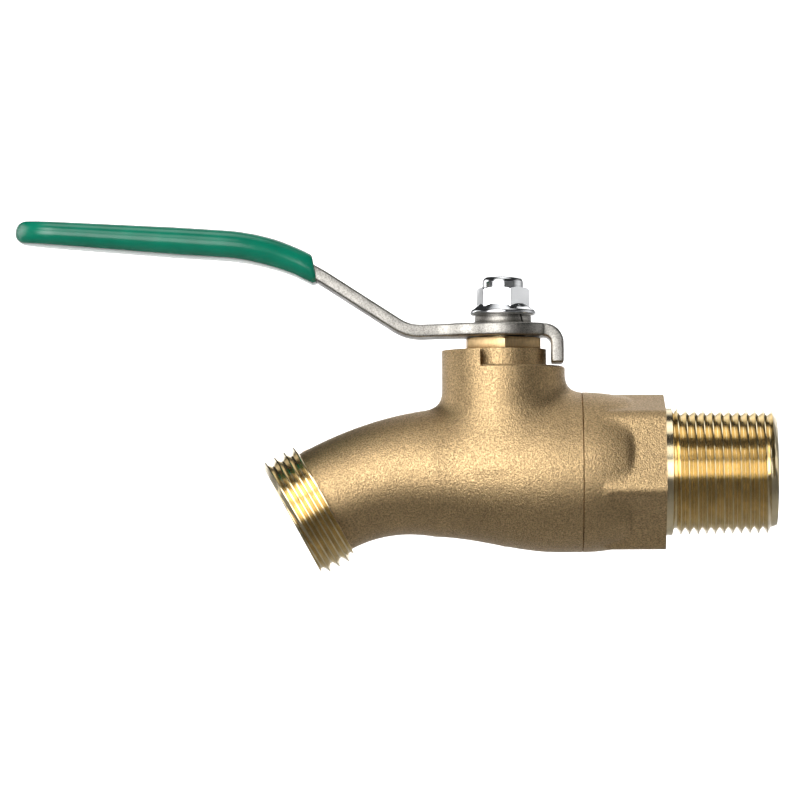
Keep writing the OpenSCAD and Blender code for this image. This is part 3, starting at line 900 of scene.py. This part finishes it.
def build_stem():
    """Stem with tang, flange, shaft, flats and a threaded stud."""
    sizes = Sizes("bib_fixings")
    low, radius, stud = span("stem")[0].z, sizes.stem_radius, sizes.stud_radius
    seat_z = PLATE_TOP - Sizes("bib_lever").plate
    shaft_top = PLATE_TOP - 0.15
    shaft = turned([(0.0, 13.4), (5.8, 13.4), (6.0, 13.6), (6.0, 14.75), (5.8, 14.95), (radius, 14.95),
                    (radius, 16.0), (radius - 0.75, 16.05), (radius - 0.75, 17.05), (radius, 17.1),
                    (radius, shaft_top - 0.3), (radius - 0.3, shaft_top), (0.0, shaft_top)])
    tang = box_solid((-2.45, -4.5, low), (2.45, 4.5, 14.0))
    bm = joined(shaft, tang, "UNION")
    for side in (-1, 1):
        flat = box_solid((-10, 3.0, seat_z), (10, 9.0, shaft_top + 1))
        if side < 0:
            bmesh.ops.rotate(flat, verts=flat.verts, cent=(0, 0, 0), matrix=Matrix.Rotation(pi, 3, "Z"))
        bm = joined(bm, flat, "DIFFERENCE")
    root, pitch = stud - 0.55, 1.0
    core = turned([(0.0, shaft_top - 0.5), (root, shaft_top - 0.5), (root, STUD_TOP - 0.2),
                   (root - 0.4, STUD_TOP), (0.0, STUD_TOP)])
    ridge = helix(root, stud, pitch, shaft_top + 0.2, STUD_TOP - shaft_top - 0.7, 0.12, steps=48)
    bm = joined(bm, joined(core, ridge, "UNION"), "UNION")
    return finish_piece(bm, "stem_and_stud", "handle", [material("cut")], ["stem"])


# ---------------------------------------------------------------- lever


# length over which the lever and its grip widen, from the grip's open end
FLARE = 18.0


class LeverPath:
    """The lever's centre line: straight runs and bends, from the head towards the tip."""

    start = -8.0
    legs = ((0.0, -1.5, 20.0), (8.7, 34.5, 9.0), (17.15, -29.1, 46.0), (43.2, 0.0, 1.0))

    def __init__(self, mid):
        self.mid = mid
        self.length = sum(run + radians(abs(turn)) * radius for run, turn, radius in self.legs)

    def at(self, distance):
        """Point and heading, in degrees, at a distance along the line."""
        x, z, heading = self.start, self.mid, 0.0
        for run, turn, radius in self.legs:
            step = min(distance, run) if turn else distance
            x, z = x - step * cos(radians(heading)), z + step * sin(radians(heading))
            distance -= step
            if distance <= 0.0 or not turn:
                break
            bend = min(distance, radians(abs(turn)) * radius)
            after = heading + np.sign(turn) * np.degrees(bend / radius)
            side = np.sign(turn) * radius
            x += side * (sin(radians(heading)) - sin(radians(after)))
            z += side * (cos(radians(heading)) - cos(radians(after)))
            distance -= bend
            heading = after
        return x, z, heading

    def distance_to(self, x):
        """Distance along the line at which it reaches a place on X."""
        low, high = 0.0, self.length * 1.1
        for _ in range(40):
            mid = (low + high) / 2
            low, high = (mid, high) if self.at(mid)[0] > x else (low, mid)
        return low

    def bend(self, bm):
        """Bends a flat blank that lies around z = 0 with its length along -X."""
        for vert in bm.verts:
            if vert.co.x < self.start:
                x, z, heading = self.at(self.start - vert.co.x)
                lift = vert.co.z
                vert.co.x = x + lift * sin(radians(heading))
                vert.co.z = z + lift * cos(radians(heading))
            else:
                vert.co.z += self.mid


def stationed(bm, low, high, step):
    """Cuts a blank across at even stations along X, so that it can be bent."""
    x = low
    while x < high:
        bmesh.ops.bisect_plane(bm, geom=bm.verts[:] + bm.edges[:] + bm.faces[:], dist=1e-5,
                               plane_co=(x, 0, 0), plane_no=(1, 0, 0))
        x += step
    return bm


def blank(outline, thickness, edge, segments):
    """A flat plate around z = 0 with rounded rims."""
    bm = prism(outline, -thickness / 2, thickness / 2)
    rims = [e for e in bm.edges if abs(e.verts[0].co.z - e.verts[1].co.z) < 1e-6]
    bmesh.ops.bevel(bm, geom=rims, offset=edge, segments=segments, profile=0.5, affect="EDGES",
                    material=-1, clamp_overlap=True)
    return bm


def lever_outline(sizes, path):
    """Outline of the flat lever: tab, head, shank and the blade inside the grip."""
    head, end, tab = sizes.head_radius, sizes.head_end, sizes.tab_width / 2
    shank = sizes.shank_width / 2
    blade = (sizes.grip_width - sizes.grip_thickness + sizes.plate) / 2
    open_x = path.start - path.distance_to(-sizes.grip_start)
    tip = path.start - path.length + 0.4
    tab_run = (sizes.tab_bend + sizes.plate / 2) * pi / 2
    tab_run += PLATE_TOP - sizes.plate - sizes.tab_bend - TAB_FOOT
    corner = sqrt(head ** 2 - end ** 2)
    first = np.degrees(atan2(corner, end))
    neck_angle, neck_run = 128.0, 7.0
    half = [(end + tab_run, tab - 0.35), (end + tab_run - 0.35, tab), (end, tab), (end, corner)]
    half += arc((0, 0), head, first, neck_angle, 10)[1:]
    neck_x, neck_y = half[-1]
    for k in range(1, 7):
        ease = (1 - cos(pi * k / 6)) / 2
        half.append((neck_x - neck_run * k / 6, neck_y + (shank - neck_y) * ease))
    half += [(open_x, shank)]
    for k in range(1, 7):
        ease = (1 - cos(pi * k / 6)) / 2
        half.append((open_x - FLARE * k / 6, shank + (blade - shank) * ease))
    half += arc((tip + blade, 0), blade, 90, 180, 12)
    return half + [(x, -y) for x, y in half[-2::-1]]


def add_ear(bm, sizes):
    """The second stop tab, bent down from the head's far side."""
    turn, thick, tab = sizes.tab_bend, sizes.plate, sizes.tab_width / 2
    flat_length, corner = 8.7, 0.9
    side = flat_length - corner
    flat = [(-tab, -2.0), (-tab, side), (corner - tab, flat_length), (tab - corner, flat_length),
            (tab, side), (tab, -2.0)]
    ear = blank(flat, thick, sizes.edge, 3)
    bmesh.ops.translate(ear, verts=ear.verts, vec=(0, sizes.head_end, 0))
    mid = turn + thick / 2
    run = mid * pi / 2
    drop = PLATE_TOP - thick - turn - TAB_FOOT
    full = run + drop
    for vert in ear.verts:
        share = (vert.co.y - sizes.head_end) / flat_length
        if share > 0:
            vert.co.y = sizes.head_end + share * full
    y = sizes.head_end
    while y < sizes.head_end + run + 0.01:
        bmesh.ops.bisect_plane(ear, geom=ear.verts[:] + ear.edges[:] + ear.faces[:], dist=1e-5,
                               plane_co=(0, y, 0), plane_no=(0, 1, 0))
        y += run / 8
    fold_down(ear, 1, sizes)
    return joined(bm, ear, "UNION")


def fold_down(bm, axis, sizes):
    """Folds what lies past the head's end down by a quarter turn; axis is 0 for X, 1 for Y."""
    mid_radius = sizes.tab_bend + sizes.plate / 2
    run = mid_radius * pi / 2
    for vert in bm.verts:
        past = vert.co[axis] - sizes.head_end
        if past <= 0.0:
            continue
        radius = mid_radius + vert.co.z
        angle = min(past, run) / mid_radius
        vert.co[axis] = sizes.head_end + radius * sin(angle)
        vert.co.z = radius * cos(angle) - mid_radius - max(past - run, 0.0)


def build_lever():
    """The stamped lever: a tumbled plate with bends, a stop tab, an ear and a flatted hole."""
    sizes = Sizes("bib_lever")
    path = LeverPath(PLATE_TOP - sizes.plate / 2)
    bm = blank(lever_outline(sizes, path), sizes.plate, sizes.edge, 3)
    run = (sizes.tab_bend + sizes.plate / 2) * pi / 2
    stationed(bm, sizes.head_end + 0.001, sizes.head_end + run + 0.01, run / 10)
    stationed(bm, path.start - path.length, path.start, 1.25)
    fold_down(bm, 0, sizes)
    bmesh.ops.triangulate(bm, faces=[f for f in bm.faces if len(f.verts) > 4])
    bm = add_ear(bm, sizes)
    path.bend(bm)
    hole = turned([(0.0, 20.0), (4.05, 20.0), (4.05, 40.0), (0.0, 40.0)])
    flats = box_solid((-10, -3.05, 15.0), (10, 3.05, 45.0))
    bm = joined(bm, joined(hole, flats, "INTERSECT"), "DIFFERENCE")
    return finish_piece(bm, "stamped_lever", "handle", [material("steel")], ["lever"],
                        crease=40)


def grip_section(along, total, sizes):
    """Half width and half thickness of the grip at a distance from its open end."""
    wide, blunt, fullness = sizes.grip_width / 2, 2.3, 1.2
    neck = (sizes.shank_width + sizes.grip_thickness - sizes.plate) / 2
    ease = (1 - cos(pi * min(along / FLARE, 1.0))) / 2
    half_width = neck + (wide - neck) * ease
    slim = 0.8 + 0.2 * min((total - along) / 34.0, 1.0)
    slim *= 0.9 + 0.1 * min(along / 9.0, 1.0)
    past = max(along - (total - wide), 0.0) / wide
    last = max(along - (total - blunt), 0.0) / blunt
    mouth = max(1.0 - along / 0.8, 0.0)
    half_width *= sqrt(max(1.0 - past ** 2, 0.0))
    half_thick = sizes.grip_thickness / 2 * fullness * slim * sqrt(max(1.0 - last ** 2, 0.0))
    return half_width - 0.5 * mouth ** 2, half_thick - 0.6 * mouth ** 2


def build_grip():
    """The dipped vinyl sleeve: a flat section with round sides, closed round the lever's tip."""
    sizes = Sizes("bib_lever")
    path = LeverPath(PLATE_TOP - sizes.plate / 2)
    start = path.distance_to(-sizes.grip_start)
    total = path.length + 0.9 - start
    wide = sizes.grip_width / 2
    stations = [0.0, 0.2, 0.45, 0.8] + [0.8 + 1.6 * k for k in range(1, int((total - wide - 1.6) / 1.6))]
    stations += [total - wide + wide * sin(pi / 2 * k / 18) for k in range(18)]
    stations.append(total - 0.004)
    bm = bmesh.new()
    bmesh.ops.create_circle(bm, cap_ends=False, segments=48, radius=1.0)
    laid_over(bm)
    first = edges = list(bm.edges)
    for before, after in zip(stations, stations[1:]):
        edges = extruded(bm, edges, (before - after, 0, 0))
    lift, lip = 0.4, 1.5
    for vert in bm.verts:
        half_width, half_thick = grip_section(-vert.co.x, total, sizes)
        side, up = vert.co.y, vert.co.z
        round_side = min(half_thick, half_width)
        vert.co.y = round_side * side
        if abs(side) > 0.01:
            vert.co.y += np.sign(side) * (half_width - round_side)
        vert.co.z = lift + half_thick * up
        if vert.co.x > -1.0:
            vert.co.x += lip * (1.0 - up) - 0.5
    bmesh.ops.contextual_create(bm, geom=first)
    bmesh.ops.contextual_create(bm, geom=edges)
    facing_out(bm)
    bmesh.ops.translate(bm, verts=bm.verts, vec=(path.start - start, 0, 0))
    path.bend(bm)
    return finish_piece(bm, "dipped_grip", "handle", [material("vinyl")], ["lever_grip"],
                        crease=60)


# ---------------------------------------------------------------- washer and lock nut


def build_washer():
    """The split spring washer between lever and nut."""
    sizes = Sizes("bib_fixings")
    low, high, soft = PLATE_TOP, WASHER_TOP, 0.18
    inner, outer = sizes.washer_inner, sizes.washer_outer
    bm = turned([(inner, low + soft), (inner + soft, low), (outer - soft, low), (outer, low + soft),
                 (outer, high - soft), (outer - soft, high), (inner + soft, high),
                 (inner, high - soft)])
    gap = box_solid((0.0, -0.2, low - 1), (10.0, 0.2, high + 1))
    slant = Matrix.Rotation(radians(-50), 3, "Z") @ Matrix.Rotation(radians(18), 3, "X")
    bmesh.ops.rotate(gap, verts=gap.verts, cent=(0, 0, (low + high) / 2), matrix=slant)
    bm = joined(bm, gap, "DIFFERENCE")
    return finish_piece(bm, "split_washer", "handle", [material("steel")],
                        ["spring_washer"], crease=50)


def build_lock_nut():
    """The flange lock nut with its crown over the nylon insert."""
    sizes = Sizes("bib_fixings")
    low, top, flange, crown = WASHER_TOP, LOCK_TOP, sizes.lock_flange, sizes.lock_crown
    hexagon = chamfered_hex(sizes.lock_flats, low + 0.8, low + 5.9, radians(-14.6), 0.7)
    bmesh.ops.dissolve_limit(hexagon, angle_limit=radians(1), verts=hexagon.verts, edges=hexagon.edges)
    bevelled(hexagon, 0.14, 25, 3)
    skirt = turned([(0.0, low), (flange - 0.6, low)] + arc((flange - 0.62, low + 0.7), 0.64, -70, 62, 8)
                   + [(5.85, low + 1.85), (5.4, low + 2.2), (5.05, low + 2.5), (0.0, low + 2.5)])
    cap = turned([(0.0, low + 2), (crown, low + 2)]
                 + arc((crown - 1.25, top - 1.0), 1.25, 0, 84, 10) + [(2.9, top + 0.25), (0.0, top + 0.25)])
    bm = joined(joined(hexagon, skirt, "UNION"), cap, "UNION")
    insert = span("lock_nut_insert")
    hole = turned([(0.0, low - 1), (3.3, low - 1), (3.3, low + 0.2), (2.97, low + 0.5),
                   (2.97, insert[0].z), (3.5, insert[0].z), (3.5, insert[1].z + 0.02),
                   (3.2, insert[1].z + 0.06), (3.2, top + 2), (0.0, top + 2)])
    bm = joined(bm, hole, "DIFFERENCE")
    return finish_piece(bm, "flange_lock_nut", "handle", [material("chrome")], ["lock_nut"],
                        crease=28)


# ---------------------------------------------------------------- inner pieces


def dress_inner_pieces():
    """Materials for the ball, seats, seals and packing, which keep their CAD shape."""
    tones = bpy.context.scene.bib_finishes
    ptfe = moulded_material("ptfe", tuple(tones.ptfe), 0.5, 0.5)
    rubber = moulded_material("nitrile", tuple(tones.nitrile), 0.55, 0.4)
    nylon = moulded_material("nylon", tuple(tones.nylon), 0.4, 0.4)
    finishes = {"ball": material("chrome"), "gland_ring": material("cut"), "lock_nut_insert": nylon,
                "joint_o_ring": rubber, "stem_o_ring": rubber}
    for name in ("outlet_seat", "inlet_seat", "thrust_washer", "packing_adapter",
                 "packing_ring_lower", "packing_ring_middle", "packing_ring_upper"):
        finishes[name] = ptfe
    for name, finish in finishes.items():
        node = frame["nodes"][name]
        node.data.materials.clear()
        node.data.materials.append(finish)


# ---------------------------------------------------------------- studio


def build_floor():
    """A round seamless floor that curves up into a backdrop, in metres."""
    drop = Sizes("bib_studio").floor_drop * MM
    radius, bend, wall = 3.0, 0.5, 1.1
    profile = [(0.0, -drop)] + arc((radius - bend, bend - drop), bend, -90, 0, 16)
    profile.append((radius, bend - drop + wall))
    bm = bmesh.new()
    verts = [bm.verts.new((out, 0.0, height)) for out, height in profile]
    edges = [bm.edges.new(pair) for pair in zip(verts, verts[1:])]
    bmesh.ops.spin(bm, geom=verts + edges, cent=(0, 0, 0), axis=(0, 0, 1), angle=tau, steps=96,
                   use_merge=True)
    bmesh.ops.remove_doubles(bm, verts=bm.verts, dist=1e-4)
    facing_out(bm)
    bmesh.ops.reverse_faces(bm, faces=bm.faces)
    floor = as_object(bm, "seamless_floor")
    for face in floor.data.polygons:
        face.use_smooth = True
    floor.data.materials.append(material("floor"))


def add_light(name, azimuth, height, distance, size, power, spread=180.0, facing=None):
    """A rectangular soft light that faces the part, or another way if told.

    Azimuth runs from straight in front towards the inlet, height up from level, in degrees.
    Distance and size are in metres, power in watts.
    """
    target = Vector(((CAD_BOX[0][0] + CAD_BOX[1][0]) / 2, 0.0, 0.012))
    level = cos(radians(height))
    away = Vector((level * sin(radians(azimuth)), -level * cos(radians(azimuth)),
                   sin(radians(height))))
    light = bpy.data.lights.new(name, "AREA")
    light.shape = "RECTANGLE"
    light.size, light.size_y = size
    light.energy = power
    light.spread = radians(spread)
    lamp = bpy.data.objects.new(name, light)
    lamp.location = target + distance * away
    lamp.rotation_euler = Vector(facing or -away).to_track_quat("-Z", "Y").to_euler()
    lamp.visible_camera = False
    bpy.context.scene.collection.objects.link(lamp)


def add_camera():
    """A long lens a little below the part, square to its side."""
    studio = bpy.context.scene.bib_studio
    centre_x = (CAD_BOX[0][0] + CAD_BOX[1][0]) / 2
    centre_z = (CAD_BOX[0][2] + CAD_BOX[1][2]) / 2
    aside, under = 1.05 * MM, 0.5 * MM
    target = Vector((centre_x + aside, 0.0, centre_z - under))
    camera = bpy.data.cameras.new("camera")
    camera.sensor_width = 36.0
    camera.lens = camera.sensor_width * studio.distance / studio.width
    camera.clip_start, camera.clip_end = 0.05, 50.0
    viewer = bpy.data.objects.new("camera", camera)
    viewer.location = target + studio.distance * Vector((0.0, -cos(studio.rise), sin(studio.rise)))
    aim = (target - viewer.location).to_track_quat("-Z", "Y")
    viewer.rotation_euler = (aim @ Matrix.Rotation(studio.roll, 3, "Z").to_quaternion()).to_euler()
    bpy.context.scene.collection.objects.link(viewer)
    bpy.context.scene.camera = viewer


def add_world():
    """Even, weak surroundings; the lamps do the lighting."""
    world = bpy.data.worlds.new("studio")
    world.use_nodes = True
    back = world.node_tree.nodes["Background"]
    back.inputs["Color"].default_value = (0.9, 0.92, 0.95, 1.0)
    back.inputs["Strength"].default_value = 0.035
    bpy.context.scene.world = world


def build_studio():
    """Floor, lights, surroundings and camera."""
    build_floor()
    add_light("key", -25.0, 3.5, 0.8, (1.05, 0.5), 1.7, spread=80.0)
    add_light("upper", -25.0, 37.0, 0.8, (0.9, 0.34), 0.48, spread=60.0)
    add_light("left", -112.0, 12.0, 0.9, (0.7, 0.7), 0.4, spread=70.0)
    add_light("right", 99.0, 10.0, 0.9, (1.1, 0.9), 0.3, spread=70.0)
    add_light("top", 0.0, 86.0, 0.9, (1.1, 0.5), 0.35, spread=60.0)
    add_light("rim", 165.0, 40.0, 1.0, (0.8, 0.6), 0.25, spread=60.0)
    add_light("backdrop", 180.0, 14.0, 1.6, (2.2, 0.5), 26.0, spread=100.0, facing=(0.0, 0.99, 0.12))
    add_light("floor_back", 180.0, -10.5, 1.95, (4.4, 2.0), 8.0, facing=(0.0, 0.0, -1.0))
    add_light("floor_front", 0.0, -13.0, 1.6, (5.0, 2.4), 1.0, facing=(0.0, 0.0, -1.0))
    add_world()
    add_camera()
    bpy.context.scene.view_settings.view_transform = "Standard"


# ---------------------------------------------------------------- operators and panel


class BIB_OT_body(bpy.types.Operator):
    """Builds the cast body with its spout, neck and hose thread"""

    bl_idname = "bib.body"
    bl_label = "Cast body"

    def execute(self, context):
        build_body()
        return {"FINISHED"}


class BIB_OT_connector(bpy.types.Operator):
    """Builds the hex connector with its pipe thread"""

    bl_idname = "bib.connector"
    bl_label = "End connector"

    def execute(self, context):
        build_connector()
        return {"FINISHED"}


class BIB_OT_packing_nut(bpy.types.Operator):
    """Builds the hex packing nut"""

    bl_idname = "bib.packing_nut"
    bl_label = "Packing nut"

    def execute(self, context):
        build_packing_nut()
        return {"FINISHED"}


class BIB_OT_stem(bpy.types.Operator):
    """Builds the stem with its threaded stud"""

    bl_idname = "bib.stem"
    bl_label = "Stem"

    def execute(self, context):
        build_stem()
        return {"FINISHED"}


class BIB_OT_lever(bpy.types.Operator):
    """Builds the stamped steel lever"""

    bl_idname = "bib.lever"
    bl_label = "Lever"

    def execute(self, context):
        build_lever()
        return {"FINISHED"}


class BIB_OT_grip(bpy.types.Operator):
    """Builds the dipped vinyl grip"""

    bl_idname = "bib.grip"
    bl_label = "Grip"

    def execute(self, context):
        build_grip()
        return {"FINISHED"}


class BIB_OT_washer(bpy.types.Operator):
    """Builds the split spring washer"""

    bl_idname = "bib.washer"
    bl_label = "Spring washer"

    def execute(self, context):
        build_washer()
        return {"FINISHED"}


class BIB_OT_lock_nut(bpy.types.Operator):
    """Builds the flange lock nut"""

    bl_idname = "bib.lock_nut"
    bl_label = "Lock nut"

    def execute(self, context):
        build_lock_nut()
        return {"FINISHED"}


class BIB_OT_inner(bpy.types.Operator):
    """Gives the hidden pieces their materials"""

    bl_idname = "bib.inner"
    bl_label = "Inner pieces"

    def execute(self, context):
        dress_inner_pieces()
        return {"FINISHED"}


class BIB_OT_studio(bpy.types.Operator):
    """Adds the floor, lights, surroundings and camera"""

    bl_idname = "bib.studio"
    bl_label = "Studio"

    def execute(self, context):
        build_studio()
        return {"FINISHED"}


OPERATORS = (BIB_OT_body, BIB_OT_connector, BIB_OT_packing_nut, BIB_OT_stem,
             BIB_OT_lever, BIB_OT_grip, BIB_OT_washer, BIB_OT_lock_nut,
             BIB_OT_inner, BIB_OT_studio)


class BIB_PT_sidebar(bpy.types.Panel):
    """Hose bib tools"""

    bl_label = "Hose bib"
    bl_idname = "BIB_PT_sidebar"
    bl_space_type = "VIEW_3D"
    bl_region_type = "UI"
    bl_category = "Hose bib"

    def draw(self, context):
        for build in OPERATORS:
            self.layout.operator(build.bl_idname)


def register():
    """Registers the properties, operators and panel."""
    for name, group in GROUPS.items():
        bpy.utils.register_class(group)
        setattr(bpy.types.Scene, name, PointerProperty(type=group))
    for build in (*OPERATORS, BIB_PT_sidebar):
        bpy.utils.register_class(build)


def unregister():
    """Takes them away again."""
    for build in (BIB_PT_sidebar, *reversed(OPERATORS)):
        bpy.utils.unregister_class(build)
    for name, group in GROUPS.items():
        delattr(bpy.types.Scene, name)
        bpy.utils.unregister_class(group)


def main():
    """Registers the tools, then builds every piece."""
    register()
    for build in OPERATORS:
        action = build.bl_idname.split(".")[1]
        getattr(bpy.ops.bib, action)()


if __name__ == "__main__":
    main()
